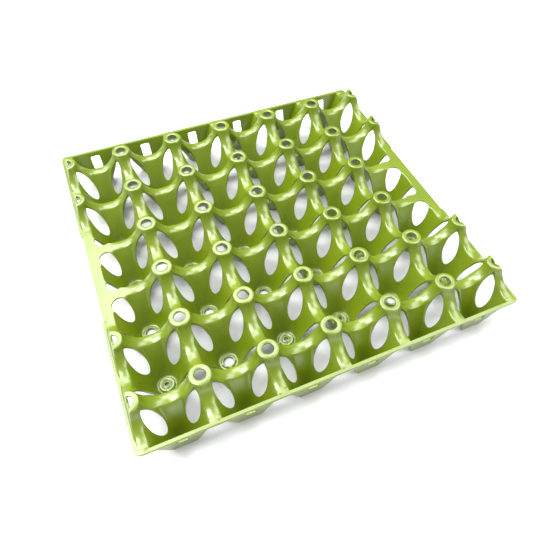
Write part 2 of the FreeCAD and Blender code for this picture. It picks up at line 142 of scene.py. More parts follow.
TIP, SHOULDER, SHOULDER_HALF, TAIL = 8.3, 17.0, 5.75, 21.5     # wall openings, from the nearest post's axis
SIDE_CURVE = 9.0             # radius of their sides
VENT_X, VENT_RADIUS = 18.9, 6.5     # round opening where no post stands above it, from the cup's axis

RING_HOLE, RING_RIM, RING_TOP = 3.9, 5.5, 3.2
RING_INSIDE, RING_RAMP = 0.55, 0.9  # its shoulder begins this far inside the rim and is this wide
BOSS_HOLE, BOSS_RIM, BOSS_TOP = 1.6, 6.0, 3.8
BOSS_INSIDE, BOSS_RAMP = 0.5, 1.0   # likewise
GROOVE_MIDDLE, GROOVE_WIDTH, GROOVE_DEPTH = 3.3, 0.5, 0.45      # round groove in a boss
BOSS_COLUMNS = (1, 3, 4, 6)

JOINT_X = -PITCH / 2         # the deck rows are cut here into a left and a right part
LOOP_HALF = 20.9             # a cup piece ends here over the ridges
LOOP_POWER = 6               # and is squarer than a circle, so that it holds its openings whole
EDGE_ROUND = 0.38            # rounding of the plastic's real edges
EDGE_TURN, EDGE_LIMIT = 1.3, 0.4    # its depth: a multiple of the rounding, but at most a share of the wall

# numbers of points or of equal parts along the outlines
LOOP_POINTS = 128
ARC_PARTS, FOOT_PARTS, VENT_POINTS = 15, 24, 48
FLOOR_HOLE_POINTS, POST_HOLE_POINTS = 32, 40
HALF_HOLE_PARTS, HALF_FLAT_PARTS = 36, 10
POCKET_SIDE_PARTS, POCKET_RIM_PARTS = 6, 28
RIDGE_END_PARTS, CORNER_PARTS, WALL_END_PARTS = 4, 6, 13
SIDE_PARTS = 24              # per pitch
SEAM_PARTS = 16
TOUCH = 0.01                 # two places nearer than this are the same

PIECE_NAME = "moulded_{}"


# ---------------------------------------------------------------- small helpers for numbers
def smooth_min(a, b, reach):
    """The lower of two heights, rounded where they are closer than reach."""
    near = np.clip(reach - np.abs(a - b), 0, None) / reach
    return np.minimum(a, b) - near * near * reach / 4


def smooth_max(a, b, reach):
    return -smooth_min(-a, -b, reach)


def smooth_step(t):
    t = np.clip(t, 0, 1)
    return t * t * (3 - 2 * t)


def cross_2d(a, b):
    return a[..., 0] * b[..., 1] - a[..., 1] * b[..., 0]


def unit(vectors):
    return vectors / np.maximum(np.linalg.norm(vectors, axis=-1, keepdims=True), 1e-12)


def cup_x(column):
    """Middle of a column of cups, numbered from 1 at the left."""
    return (column - (COLUMNS + 1) / 2) * PITCH


def cup_y(row):
    """Middle of a row of cups, numbered from 1 at the rear; the rear pockets are row 0."""
    return ((ROWS + 1) / 2 - row) * PITCH


# ---------------------------------------------------------------- the skin's upper and lower surface
def edge_x(y):
    """Half width of the tray at y: it steps in at the hand grips."""
    return OUTER_X - GRIP_STEP * (1 - smooth_step((np.abs(y) - GRIP_HALF) / GRIP_RAMP))


def nearest_post(x, y):
    """Offsets to the nearest post of the grid, and the distance to it, which is at most half a pitch."""
    column = np.clip(np.round(x / PITCH), -COLUMNS / 2, COLUMNS / 2)
    row = np.clip(np.round(y / PITCH - 0.5) + 0.5, -ROWS / 2, ROWS / 2)
    across = np.abs(x - column * PITCH)
    along = np.abs(y - row * PITCH)
    missing = (np.abs(column) == COLUMNS / 2) & (np.abs(row) < 1)
    distance = np.where(missing, HALF, np.minimum(np.hypot(across, along), HALF))
    return across, along, distance


def flare_height(distance, inset):
    """Height of a post's hollow curve at a distance from its axis. It goes on straight above its top."""
    radius = FLARE_RADIUS + inset
    reach = radius * FLARE_SHARE
    inside = np.minimum(HALF - distance, reach)
    steep = reach / math.sqrt(radius ** 2 - reach ** 2)
    curve = FLARE_LOW + FLARE_RADIUS - np.sqrt(radius ** 2 - inside ** 2)
    return curve + steep * np.clip(HALF - distance - reach, 0, None)


def deck_height(x, y, depth):
    """Ridges, posts and rim, at the upper surface for depth 0 and at the lower one for depth WALL."""
    across, along, distance = nearest_post(x, y)
    beside = np.minimum(across, along)
    ridge = flare_height(distance, depth)
    grip = smooth_step((np.abs(x) - GRIP_START) / GRIP_GROWTH)
    grip = grip * smooth_step((GRIP_END - np.abs(y)) / GRIP_FADE)
    crown = smooth_step((distance - CROWN_START) / CROWN_GROWTH) * (1 - grip)
    ridge = ridge - RIDGE_CROWN * crown * beside ** 2
    ring = POST_TOP - depth - RING_CROWN * (np.minimum(distance, RING_END) - RING_MIDDLE) ** 2
    height = smooth_min(ridge, ring, RING_FILLET)
    to_edge = np.minimum(edge_x(y) - np.abs(x), OUTER_Y - np.abs(y))
    height = height - RIM_STEP * (1 - smooth_step((to_edge - RIM_WIDTH + RIM_STEP_RAMP / 2) / RIM_STEP_RAMP))
    end_wall = POST_TOP - END_SLOPE * (np.abs(x) - END_TOP + depth * math.hypot(1, 1 / END_SLOPE))
    height = smooth_min(height, end_wall, END_FILLET)
    inside = 1 - smooth_step((RIM_BLEND - to_edge) / RIM_BLEND_RAMP)
    return smooth_max(height, RIM_LEVEL - depth - RIM_BLEND_RAMP * inside, RIM_FILLET)


def cup_radius(dx, dy):
    """Distance from a cup's axis, measured so that its contours are rounded octagons higher up."""
    plain = np.hypot(dx, dy)
    octagon = np.zeros_like(plain)
    for turn in range(4):
        angle = math.pi / 4 * turn
        octagon = octagon + np.abs(dx * math.cos(angle) + dy * math.sin(angle)) ** OCTAGON_POWER
    octagon = octagon ** (1 / OCTAGON_POWER)
    share = smooth_step((plain - ROUND_BELOW) / OCTAGON_GROWTH)
    return plain + (octagon - plain) * share


def cup_height(x, y, depth):
    """The cups, and the pockets at the front and rear, whose outer wall slopes out to the rim."""
    column = np.clip(np.round(x / PITCH - 0.5) + 0.5, -(COLUMNS - 1) / 2, (COLUMNS - 1) / 2)
    row = np.clip(np.round(y / PITCH), -(ROWS + 1) / 2, (ROWS + 1) / 2)
    radius = cup_radius(x - column * PITCH, y - row * PITCH)
    cone = (radius - CUP_BASE - depth / WALL * SIDE_WALL) / CUP_SLOPE
    wall = (np.abs(y) - POCKET_FOOT - depth / WALL * POCKET_SKIN) * POCKET_SLOPE
    bowl = smooth_max(cone, wall, POCKET_FILLET)
    return smooth_max(bowl, WALL - depth, FLOOR_FILLET if depth == 0 else UNDER_FLOOR_FILLET)


def upper_height(x, y):
    return smooth_min(deck_height(x, y, 0.0), cup_height(x, y, 0.0), CREASE_FILLET)


def lower_height(x, y):
    return smooth_min(deck_height(x, y, WALL), cup_height(x, y, WALL), UNDER_CREASE_FILLET)


def floor_relief(kind, radius):
    """Height of a cup's drain ring or boss over its floor."""
    if kind == "ring":
        return (RING_TOP - WALL) * (1 - smooth_step((radius - RING_RIM + RING_INSIDE) / RING_RAMP))
    groove = GROOVE_DEPTH * np.exp(-((radius - GROOVE_MIDDLE) / GROOVE_WIDTH) ** 2)
    return (BOSS_TOP - WALL) * (1 - smooth_step((radius - BOSS_RIM + BOSS_INSIDE) / BOSS_RAMP)) - groove


# ---------------------------------------------------------------- outlines in plan
def arc_to(start, end, radius, count):
    """Points of the arc from start towards end, with its centre on the left; end itself is left out."""
    start, end = np.array(start, float), np.array(end, float)
    chord = end - start
    length = np.linalg.norm(chord)
    left = np.array([-chord[1], chord[0]]) / length
    centre = (start + end) / 2 + left * math.sqrt(max(radius ** 2 - length ** 2 / 4, 0))
    first = math.atan2(*(start - centre)[::-1])
    sweep = 2 * math.asin(min(length / 2 / radius, 1))
    angles = first + sweep * np.arange(count) / count
    return centre + radius * np.stack([np.cos(angles), np.sin(angles)], 1)


def line_to(start, end, count):
    """Points from start towards end, evenly spaced; end itself is left out."""
    share = (np.arange(count) / count)[:, None]
    return np.array(start, float) * (1 - share) + np.array(end, float) * share


def circle(x, y, radius, count):
    angles = 2 * np.pi * np.arange(count) / count
    return np.stack([x + radius * np.cos(angles), y + radius * np.sin(angles)], 1)


def opening_loop(quarter, vented):
    """A wall opening, about its cup's axis, in one of the four diagonal directions: pointed towards the post
    above it, or a round vent where there is no post."""
    diagonal = PITCH / math.sqrt(2)
    right = (diagonal - SHOULDER, -SHOULDER_HALF)
    left = (diagonal - SHOULDER, SHOULDER_HALF)
    foot_rise = TAIL - SHOULDER
    foot_radius = (SHOULDER_HALF ** 2 + foot_rise ** 2) / 2 / foot_rise
    foot = arc_to(left, right, foot_radius, FOOT_PARTS)
    if vented:
        outline = circle(VENT_X, 0, VENT_RADIUS, VENT_POINTS)
    else:
        tip = (diagonal - TIP, 0.0)
        left_side = arc_to(tip, left, SIDE_CURVE, ARC_PARTS)
        right_side = arc_to(right, tip, SIDE_CURVE, ARC_PARTS)
        outline = np.concatenate([left_side, foot, right_side])
    angle = math.pi / 4 + math.pi / 2 * quarter
    turn = np.array([[math.cos(angle), math.sin(angle)], [-math.sin(angle), math.cos(angle)]])
    return outline @ turn


def cup_loop():
    """The outline of a cup piece about the cup's axis, from the +X side round to the left."""
    ray = circle(0, 0, 1.0, LOOP_POINTS)
    size = (np.abs(ray) ** LOOP_POWER).sum(1) ** (1 / LOOP_POWER)
    return ray * (LOOP_HALF / size)[:, None]


def near_half():
    """The near half of that outline, from its right end to its left end."""
    half = cup_loop()[LOOP_POINTS // 2:][::-1]
    return np.concatenate([[[LOOP_HALF, 0.0]], half])


def half_post_hole(side, y):
    """The hole in a half post: a circle cut off flat along the end wall. side is 1 or -1."""
    centre = COLUMNS / 2 * PITCH
    reach = END_HOLE - centre
    high = math.sqrt(POST_HOLE ** 2 - reach ** 2)
    first = math.atan2(high, reach)
    angles = first + (2 * math.pi - 2 * first) * np.arange(HALF_HOLE_PARTS) / HALF_HOLE_PARTS
    curve = np.stack([centre + POST_HOLE * np.cos(angles), POST_HOLE * np.sin(angles)], 1)
    flat = line_to((END_HOLE, -high), (END_HOLE, high), HALF_FLAT_PARTS)
    outline = np.concatenate([curve, flat])
    outline[:, 0] *= side
    outline[:, 1] += y
    return outline if side > 0 else outline[::-1]


def window_loops(x, side):
    """The window in a pocket wall, on the wall's inner face and on its outer face."""
    half, low, high, bend = WINDOW_HALF, WINDOW_LOW, WINDOW_HIGH, WINDOW_ROUND
    corners = [(half - bend, low + bend, -90), (half - bend, high - bend, 0),
               (bend - half, high - bend, 90), (bend - half, low + bend, 180)]
    outline = []
    for index, (cx, cz, start) in enumerate(corners):
        angles = np.radians(start + 90 * np.arange(6) / 6)
        outline += list(np.stack([cx + bend * np.cos(angles), cz + bend * np.sin(angles)], 1))
        last = np.array([cx + bend * math.cos(math.radians(start + 90)),
                         cz + bend * math.sin(math.radians(start + 90))])
        next_x, next_z, next_start = corners[(index + 1) % 4]
        first = np.array([next_x + bend * math.cos(math.radians(next_start)),
                          next_z + bend * math.sin(math.radians(next_start))])
        outline += list(line_to(last, first, 6 if index % 2 == 0 else 4))
    outline = np.array(outline)
    loops = []
    for skin in (0.0, POCKET_SKIN):
        y = side * (POCKET_FOOT + skin + outline[:, 1] / POCKET_SLOPE)
        loops.append(np.stack([x + outline[:, 0], y], 1))
    if side < 0:
        loops = [loop[::-1] for loop in loops]
    return loops


def outward(loop):
    """Unit normals of a closed outline that runs anticlockwise, in plan, pointing away from its inside."""
    ahead = unit(np.roll(loop, -1, 0) - loop)
    behind = unit(loop - np.roll(loop, 1, 0))
    along = unit(ahead + behind)
    return np.stack([along[:, 1], -along[:, 0]], 1)


# ---------------------------------------------------------------- triangulation of a stretch of the skin
def inside_loops(points, loops):
    """Which points lie inside the first outline and outside the others."""
    inside = np.zeros(len(points), bool)
    for loop in loops:
        for (ax, ay), (bx, by) in zip(loop, np.roll(loop, -1, 0)):
            crosses = (ay > points[:, 1]) != (by > points[:, 1])
            where = ax + (points[:, 1] - ay) * (bx - ax) / (by - ay if by != ay else 1.0)
            inside ^= crosses & (points[:, 0] < where)
    return inside


def surface_normals(height, x, y):
    """Upward normals of a height function."""
    tiny = 0.02
    slope_x = (height(x + tiny, y) - height(x - tiny, y)) / (2 * tiny)
    slope_y = (height(x, y + tiny) - height(x, y - tiny)) / (2 * tiny)
    return unit(np.stack([-slope_x, -slope_y, np.ones_like(slope_x)], 1))


COARSE = 2.4                 # spacing of the first points; each further level halves it
BEND_LIMITS = (0.0, 0.20, 0.30)     # a level is used where the surface turns by more than this
BORDER_STEP = 0.7            # how finely outlines are divided to measure distances to them
BORDER_GAP = 0.42            # points stay this share of their spacing away from the outlines
BORDER_GAP_STEP = 1.2        # but no further than if the spacing were this
BATCH = 500                  # points measured at once


def filling_points(height, loops, to_plan):
    """Points inside the outlines, closer together where the surface bends."""
    low = np.min(loops[0], 0)
    high = np.max(loops[0], 0)
    border = np.concatenate([line_to(a, b, max(1, math.ceil(math.dist(a, b) / BORDER_STEP)))
                             for loop in loops for a, b in zip(loop, np.roll(loop, -1, 0))])
    kept = []
    for level, limit in enumerate(BEND_LIMITS):
        step = COARSE / 2 ** level
        first = np.floor(low / COARSE) * COARSE
        count = np.ceil((high - first) / step).astype(int) + 1
        i, j = np.meshgrid(np.arange(count[0]), np.arange(count[1]), indexing="ij")
        if level:
            new = (i % 2 == 1) | (j % 2 == 1)
            i, j = i[new], j[new]
        points = first + np.stack([i.ravel(), j.ravel()], 1) * step
        points = points[((points > low) & (points < high)).all(1)]
        if level and len(points):
            bend = np.zeros(len(points))
            for shift in (np.array([step, 0.0]), np.array([0.0, step])):
                ahead = surface_normals(height, *to_plan(points + shift).T)
                behind = surface_normals(height, *to_plan(points - shift).T)
                bend += np.linalg.norm(ahead - behind, axis=1)
            points = points[bend > limit]
        points = points[inside_loops(points, loops)]
        clear = np.ones(len(points), bool)
        for start in range(0, len(points), BATCH):
            part = points[start:start + BATCH]
            gap = np.linalg.norm(part[:, None] - border[None], axis=2).min(1)
            clear[start:start + BATCH] = gap > BORDER_GAP * min(step, BORDER_GAP_STEP)
        kept.append(points[clear])
    return np.concatenate(kept)


def triangulated(height, loops, to_flat, to_plan):
    """Plan points, those of the outlines first, and the triangles between them, anticlockwise."""
    flat = [to_flat(loop) for loop in loops]
    points = np.concatenate(flat + [filling_points(height, flat, to_plan)])
    edges = []
    start = 0
    for loop in flat:
        count = len(loop)
        edges += [(start + k, start + (k + 1) % count) for k in range(count)]
        start += count
    result = delaunay_2d_cdt([Vector(point) for point in points], edges, [], 0, 1e-7, True)
    if len(result[0]) != len(points):
        raise RuntimeError("two outlines of a piece cross or touch")
    triangles = np.array(result[2])
    corners = points[triangles]
    triangles = triangles[inside_loops(corners.mean(1), flat)]
    corners = points[triangles]
    clockwise = cross_2d(corners[:, 1] - corners[:, 0], corners[:, 2] - corners[:, 0]) < 0
    triangles[clockwise] = triangles[clockwise][:, ::-1]
    plan = to_plan(points)
    plan[:start] = np.concatenate(loops)
    return plan, triangles


def same(points):
    """Plan to flat, and back, where the plan itself is good enough to be triangulated."""
    return np.array(points, float)


def past_foot(points, share):
    """Moves points outwards by a share of how far they lie beyond the foot of a pocket wall."""
    points = np.array(points, float)
    beyond = np.clip(np.abs(points[:, 1]) - POCKET_FOOT, 0, None)
    points[:, 1] += np.sign(points[:, 1]) * beyond * share
    return points


def stretched(points):
    """Plan to flat: the pocket walls are so steep that they are laid out before they are triangulated."""
    return past_foot(points, POCKET_SLOPE - 1)


def unstretched(points):
    """Flat to plan."""
    return past_foot(points, 1 / POCKET_SLOPE - 1)


# ---------------------------------------------------------------- pieces of the skin
ROUND_STEPS = (1 / 3, 2 / 3, 1.0)


def curve_rings(first, corner, last):
    """Points and directions of the round edge that leaves first, turns at corner and arrives at last."""
    rings = []
    for t in ROUND_STEPS:
        point = (1 - t) ** 2 * first + 2 * t * (1 - t) * corner + t ** 2 * last
        way = 2 * (1 - t) * (corner - first) + 2 * t * (last - corner)
        rings.append((point, way))
    return rings


def lifted(plan, height):
    """Points of the plan on a surface."""
    return np.concatenate([plan, height(*plan.T)[:, None]], 1)


def skin_piece(upper, lower, outline, holes, to_flat=same, to_plan=same):
    """A stretch of the skin. outline is where it is cut from the next piece; holes are pairs of outlines,
    one on the upper and one on the lower surface, where the plastic ends in a rounded edge."""
    top_loops, low_loops = [outline], [outline]
    for top, low in holes:
        for loop, loops in ((top, top_loops), (low, low_loops)):
            flat = to_flat(loop)
            loops.append(to_plan(flat + EDGE_ROUND * outward(flat)))
    sides = []
    for height, loops, facing in ((upper, top_loops, 1), (lower, low_loops, -1)):
        plan, triangles = triangulated(height, loops, to_flat, to_plan)
        normals = surface_normals(height, *plan.T) * facing
        sides.append((lifted(plan, height), normals, triangles if facing > 0 else triangles[:, ::-1]))
    (top_points, top_normals, top_faces), (low_points, low_normals, low_faces) = sides
    points = [top_points, low_points]
    normals = [top_normals, low_normals]
    faces = [top_faces, low_faces + len(top_points)]
    used = len(top_points) + len(low_points)

    def strip(a, b):
        """Quads between two closed rings of corner numbers, as triangles facing away from the plastic."""
        a_next, b_next = np.roll(a, -1), np.roll(b, -1)
        faces.append(np.stack([a, b, b_next], 1))
        faces.append(np.stack([a, b_next, a_next], 1))

    count = len(outline)
    strip(np.arange(count), len(top_points) + np.arange(count))
    start = count
    for top, low in holes:
        count = len(top)
        top_ring = start + np.arange(count)
        low_ring = len(top_points) + top_ring
        top_edge, low_edge = lifted(top, upper), lifted(low, lower)
        through = low_edge - top_edge
        depth = np.linalg.norm(through, axis=1, keepdims=True)
        through = through / depth
        turn = np.minimum(EDGE_TURN * EDGE_ROUND, EDGE_LIMIT * depth)
        upper_part = curve_rings(top_points[top_ring], top_edge, top_edge + through * turn)
        lower_part = curve_rings(low_points[top_ring], low_edge, low_edge - through * turn)
        rings = upper_part + [(point, -way) for point, way in lower_part[::-1]]
        previous = top_ring
        for point, way in rings:
            along = np.roll(point, -1, 0) - np.roll(point, 1, 0)
            ring = used + np.arange(count)
            used += count
            points.append(point)
            normals.append(unit(np.cross(along, way)))
            strip(ring, previous)
            previous = ring
        strip(low_ring, previous)
        start += count
    return np.concatenate(points), np.concatenate(normals), np.concatenate(faces)


def add_piece(node, points, normals, faces):
    """A mesh that stands for one CAD node."""
    mesh = bpy.data.meshes.new(PIECE_NAME.format(node))
    mesh.from_pydata((points * MM).tolist(), [], faces.tolist())
    mesh.polygons.foreach_set("use_smooth", np.ones(len(faces), bool))
    mesh.normals_split_custom_set_from_vertices(normals.tolist())
    mesh.materials.append(PLASTIC)
    piece = bpy.data.objects.new(mesh.name, mesh)
    bpy.context.scene.collection.objects.link(piece)
    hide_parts(node)
    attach(piece, "root")


def shifted(height, x, y):
    """A height function as seen from the point (x, y)."""
    return lambda px, py: height(px + x, py + y)


def with_relief(height, kind):
    return lambda px, py: height(px, py) + floor_relief(kind, np.hypot(px, py))


def vented_corners(row, column):
    """Quarters of a cup, from +X +Y round to the left, whose opening has no post above it."""
    quarters = []
    for quarter, (side, back) in enumerate(((1, 1), (-1, 1), (-1, -1), (1, -1))):
        post_x = abs(cup_x(column) + side * HALF)
        post_y = abs(cup_y(row) + back * HALF)
        if post_x > (COLUMNS - 1) / 2 * PITCH and post_y < PITCH:
            quarters.append(quarter)
    return tuple(quarters)


def make_cups():
    """The thirty cups. Cups of one kind share their shape, which is worked out once about the cup's axis."""
    shapes = {}
    for row in range(1, ROWS + 1):
        for column in range(1, COLUMNS + 1):
            kind = "boss" if row in (1, ROWS) and column in BOSS_COLUMNS else "ring"
            vented = vented_corners(row, column)
            x, y = cup_x(column), cup_y(row)
            key = (kind, vented)
            if key not in shapes:
                hole = circle(0, 0, RING_HOLE if kind == "ring" else BOSS_HOLE, FLOOR_HOLE_POINTS)
                loops = [opening_loop(quarter, quarter in vented) for quarter in range(4)] + [hole]
                upper = with_relief(shifted(upper_height, x, y), kind)
                shapes[key] = skin_piece(upper, shifted(lower_height, x, y), cup_loop(),
                                         [(loop, loop) for loop in loops])
            points, normals, faces = shapes[key]
            add_piece(f"cup_r{row}_c{column}", points + np.array([x, y, 0]), normals, faces)


def pocket_outline(x, side):
    """A pocket piece: the near half of a cup's outline, closed straight along the rim piece."""
    y = cup_y(0)
    near = cup_loop()[LOOP_POINTS // 2:]               # from the left side round the near half
    right, left = (LOOP_HALF, 0.0), (-LOOP_HALF, 0.0)
    far = OUTER_Y - RIM_CUT - y
    outline = np.concatenate([near, line_to(right, (LOOP_HALF, far), POCKET_SIDE_PARTS),
                              line_to((LOOP_HALF, far), (-LOOP_HALF, far), POCKET_RIM_PARTS),
                              line_to((-LOOP_HALF, far), left, POCKET_SIDE_PARTS)])
    outline = outline + np.array([x, y])
    if side < 0:
        outline = (outline * np.array([1, -1]))[::-1]
    return outline


def make_pockets():
    """The twelve pockets, each with a window in its wall and two openings towards the posts."""
    for name, side in (("rear", 1), ("front", -1)):
        for column in range(1, COLUMNS + 1):
            x, y = cup_x(column), side * cup_y(0)
            near = (2, 3) if side > 0 else (0, 1)
            openings = [opening_loop(quarter, False) + np.array([x, y]) for quarter in near]
            holes = [(loop, loop) for loop in openings] + [tuple(window_loops(x, side))]
            shape = skin_piece(upper_height, lower_height, pocket_outline(x, side), holes,
                               stretched, unstretched)
            add_piece(f"{name}_pocket_{column}", *shape)


def side_levels(low, high):
    """Places along a side edge where the outlines have a point."""
    most = ROWS * SIDE_PARTS // 2
    levels = list(np.arange(-most, most + 1) * (PITCH / SIDE_PARTS))
    levels += [sign * (GRIP_HALF + share * GRIP_RAMP) for sign in (-1, 1) for share in (0.25, 0.5, 0.75)]
    corner = OUTER_Y - CORNER
    last = np.linspace(ROWS / 2 * PITCH, corner, WALL_END_PARTS + 1)[1:]
    levels += list(last) + list(-last)
    levels = np.unique(np.round(levels, 6))
    return levels[(levels > low - 1e-6) & (levels < high + 1e-6)]


def side_points(low, high):
    """The right edge of the deck pieces, upwards along Y."""
    levels = side_levels(low, high)
    return np.stack([edge_x(levels) - RIM_CUT, levels], 1)


def corner_points():
    """The rear right corner of the deck, without its two ends."""
    angles = np.radians(90 * np.arange(1, CORNER_PARTS) / CORNER_PARTS)
    centre = np.array([OUTER_X - CORNER, OUTER_Y - CORNER])
    return centre + (CORNER - RIM_CUT) * np.stack([np.cos(angles), np.sin(angles)], 1)


def row_edge(y):
    """One long edge of a deck row, from the right to the left, along the near half of each cup above it."""
    edge = []
    for column in range(COLUMNS, 0, -1):
        x = cup_x(column)
        if column < COLUMNS:
            between = line_to((x + PITCH - LOOP_HALF, y), (x + LOOP_HALF, y), RIDGE_END_PARTS + 1)
            edge += list(between[1:])
        edge += list(near_half() + np.array([x, y]))
    return np.array(edge)


def rim_edge():
    """The rear edge of the first deck row, from the right to the left: round the pockets, out to the rim."""
    y = cup_y(0)
    far = OUTER_Y - RIM_CUT
    edge = [(OUTER_X - CORNER, far)]
    for column in range(COLUMNS, 0, -1):
        x = cup_x(column)
        corner = (x + LOOP_HALF, far)
        edge += list(line_to(edge[-1], corner, RIDGE_END_PARTS)[1:])
        edge += list(line_to(corner, (x + LOOP_HALF, y), POCKET_SIDE_PARTS))
        edge += list(near_half() + np.array([x, y]))
        edge += list(line_to((x - LOOP_HALF, y), (x - LOOP_HALF, far), POCKET_SIDE_PARTS)[1:])
        edge += [(x - LOOP_HALF, far)]
    edge += list(line_to(edge[-1], (-(OUTER_X - CORNER), far), RIDGE_END_PARTS)[1:])
    return np.array(edge + [(-(OUTER_X - CORNER), far)])


def seam(first, last):
    """The cut between the left and right part of a deck row, without its two ends."""
    return line_to((JOINT_X, first), (JOINT_X, last), SEAM_PARTS)[1:]


def from_joint(edge):
    """The part of a row's long edge on the right of the joint, and the part on its left."""
    return edge[edge[:, 0] > JOINT_X + TOUCH], edge[edge[:, 0] < JOINT_X - TOUCH]


def deck_outline(index, left):
    """Outline of the left or right part of deck row index, 0 at the rear, anticlockwise."""
    post_y = (ROWS / 2 - index) * PITCH
    near_y, far_y = post_y - HALF, post_y + HALF
    flip = np.array([1.0, -1.0])
    mirror = np.array([-1.0, 1.0])
    if index == 0:
        side = np.concatenate([side_points(near_y, OUTER_Y - CORNER), corner_points()])
        rear = rim_edge()
    elif index == ROWS:
        side = side_points(-(OUTER_Y - CORNER), far_y)
        side = np.concatenate([(corner_points() * flip)[::-1], side])
        rear = row_edge(far_y)
    else:
        side = side_points(near_y, far_y)
        rear = row_edge(far_y)
    if index == ROWS:
        front = (rim_edge() * flip)[::-1]
    else:
        front = (row_edge(-near_y) * flip)[::-1]
    rear_right, rear_left = from_joint(rear)
    front_right, front_left = from_joint(front)
    rear_end = rear[np.abs(rear[:, 0] - JOINT_X) < TOUCH]
    front_end = front[np.abs(front[:, 0] - JOINT_X) < TOUCH]
    joint = seam(rear_end[0, 1], front_end[0, 1])
    if left:
        side = (side * mirror)[::-1]
        return np.concatenate([front_end, joint[::-1], rear_end, rear_left, side, front_left])
    return np.concatenate([side, rear_right, rear_end, joint, front_end, front_right])


def make_deck():
    """The six deck rows with their posts, each in a left and a right part."""
    for index, letter in enumerate("abcdef"):
        y = (ROWS / 2 - index) * PITCH
        for name, side, columns in (("left", -1, (-2, -1)), ("right", 1, (0, 1, 2))):
            loops = [circle(x * PITCH, y, POST_HOLE, POST_HOLE_POINTS) for x in columns]
            if abs(y) > PITCH:
                loops.append(half_post_hole(side, y))
            outline = deck_outline(index, side < 0)
            shape = skin_piece(upper_height, lower_height, outline, [(loop, loop) for loop in loops])
            add_piece(f"deck_row_{letter}_{name}", *shape)


# ---------------------------------------------------------------- the rim pieces
def rim_section(top, under):
    """The rim's section as (distance inside the edge, height, how far out it faces, how far up), from the
    round upper edge down to the lip and back up inside it. top and under are rows of heights."""
    small = RIM_ROUND / 2
    section = []
    for angle in np.radians(np.linspace(90, 0, 6)):
        height = top - RIM_ROUND * (1 - math.sin(angle))
        section.append((RIM_ROUND * (1 - math.cos(angle)), height, math.cos(angle), math.sin(angle)))
    for angle in np.radians(np.linspace(0, -180, 7)):
        centre = small if angle > -math.pi / 2 else LIP - small
        height = LIP_BOTTOM + small * (1 + math.sin(angle)) + 0 * top
        section.append((centre - small * math.cos(angle), height, math.cos(angle), math.sin(angle)))
    section.append((LIP, under - small, -1.0, 0.0))
    section.append((LIP + small / 2, under, 0.0, -1.0))
    return section


def make_rim(node, edge, facing):
    """A rim piece along edge, a row of points on the tray's outer edge, with the way each one faces."""
    inner = edge - facing * RIM_CUT
    count = len(edge)
    top = upper_height(*inner.T)
    under = lower_height(*inner.T)
    rings = [(lifted(inner, upper_height), surface_normals(upper_height, *inner.T))]
    for inset, height, out, up in rim_section(top, under):
        place = edge - facing * inset
        rings.append((np.column_stack([place, height]), np.column_stack([facing * out, np.full(count, up)])))
    rings.append((lifted(inner, lower_height), -surface_normals(lower_height, *inner.T)))
    points = np.concatenate([ring[0] for ring in rings])
    normals = np.concatenate([ring[1] for ring in rings])
    faces = []
    total = len(rings)
    for k in range(total):
        a = k * count + np.arange(count)
        b = ((k + 1) % total) * count + np.arange(count)
        faces.append(np.stack([a[:-1], b[:-1], b[1:]], 1))
        faces.append(np.stack([a[:-1], b[1:], a[1:]], 1))
    for end, order in ((0, -1), (count - 1, 1)):
        ring = np.arange(total) * count + end
        fan = np.stack([np.full(total - 2, ring[0]), ring[1:-1], ring[2:]], 1)
        faces.append(fan[:, ::order])
    add_piece(node, points, normals, np.concatenate(faces))


def make_rims():
    """The four rims. The end rims hold the corners."""
    corner = OUTER_Y - CORNER
    levels = side_levels(-corner, corner)
    edge = np.stack([edge_x(levels), levels], 1)
    facing = np.tile([1.0, 0.0], (len(levels), 1))
    make_rim("rim_right", edge, facing)
    make_rim("rim_left", edge * -1, facing * -1)
    angles = np.radians(90 * np.arange(CORNER_PARTS + 1) / CORNER_PARTS)
    ray = np.stack([np.cos(angles), np.sin(angles)], 1)
    right = np.array([OUTER_X - CORNER, corner]) + CORNER * ray
    plan = rim_edge()
    along = plan[(np.abs(plan[:, 1] - (OUTER_Y - RIM_CUT)) < 1e-6)]
    spans = [np.linspace(cup_x(column) - LOOP_HALF, cup_x(column) + LOOP_HALF, POCKET_RIM_PARTS + 1)
             for column in range(1, COLUMNS + 1)]
    xs = np.unique(np.round(np.concatenate([along[:, 0]] + spans), 6))[::-1]
    straight = np.stack([xs, np.full(len(xs), OUTER_Y)], 1)[1:-1]
    left = (right * np.array([-1, 1]))[::-1]
    edge = np.concatenate([right, straight, left])
    facing = np.concatenate([ray, np.tile([0.0, 1.0], (len(straight), 1)), (ray * np.array([-1, 1]))[::-1]])
    make_rim("rim_rear", edge, facing)
    make_rim("rim_front", edge * -1, facing * -1)


# ---------------------------------------------------------------- material
PLASTIC_DARK = (0.102, 0.151, 0.002, 1.0)
PLASTIC_LIGHT = (0.132, 0.188, 0.004, 1.0)
SPECK_COLOUR = (0.10, 0.13, 0.02, 1.0)
TABLE_COLOUR = (0.70, 0.70, 0.71, 1.0)


def link(tree, source, socket, target, name):
    tree.links.new(source.outputs[socket], target.inputs[name])


def noise_node(tree, place, scale, detail, roughness=0.5):
    node = tree.nodes.new("ShaderNodeTexNoise")
    node.inputs["Scale"].default_value = scale
    node.inputs["Detail"].default_value = detail
    node.inputs["Roughness"].default_value = roughness
    link(tree, place, "Object", node, "Vector")
    return node


def range_node(tree, source, socket, low, high, from_low=0.0, from_high=1.0):
    node = tree.nodes.new("ShaderNodeMapRange")
    node.inputs["From Min"].default_value = from_low
    node.inputs["From Max"].default_value = from_high
    node.inputs["To Min"].default_value = low
    node.inputs["To Max"].default_value = high
    link(tree, source, socket, node, "Value")
    return node


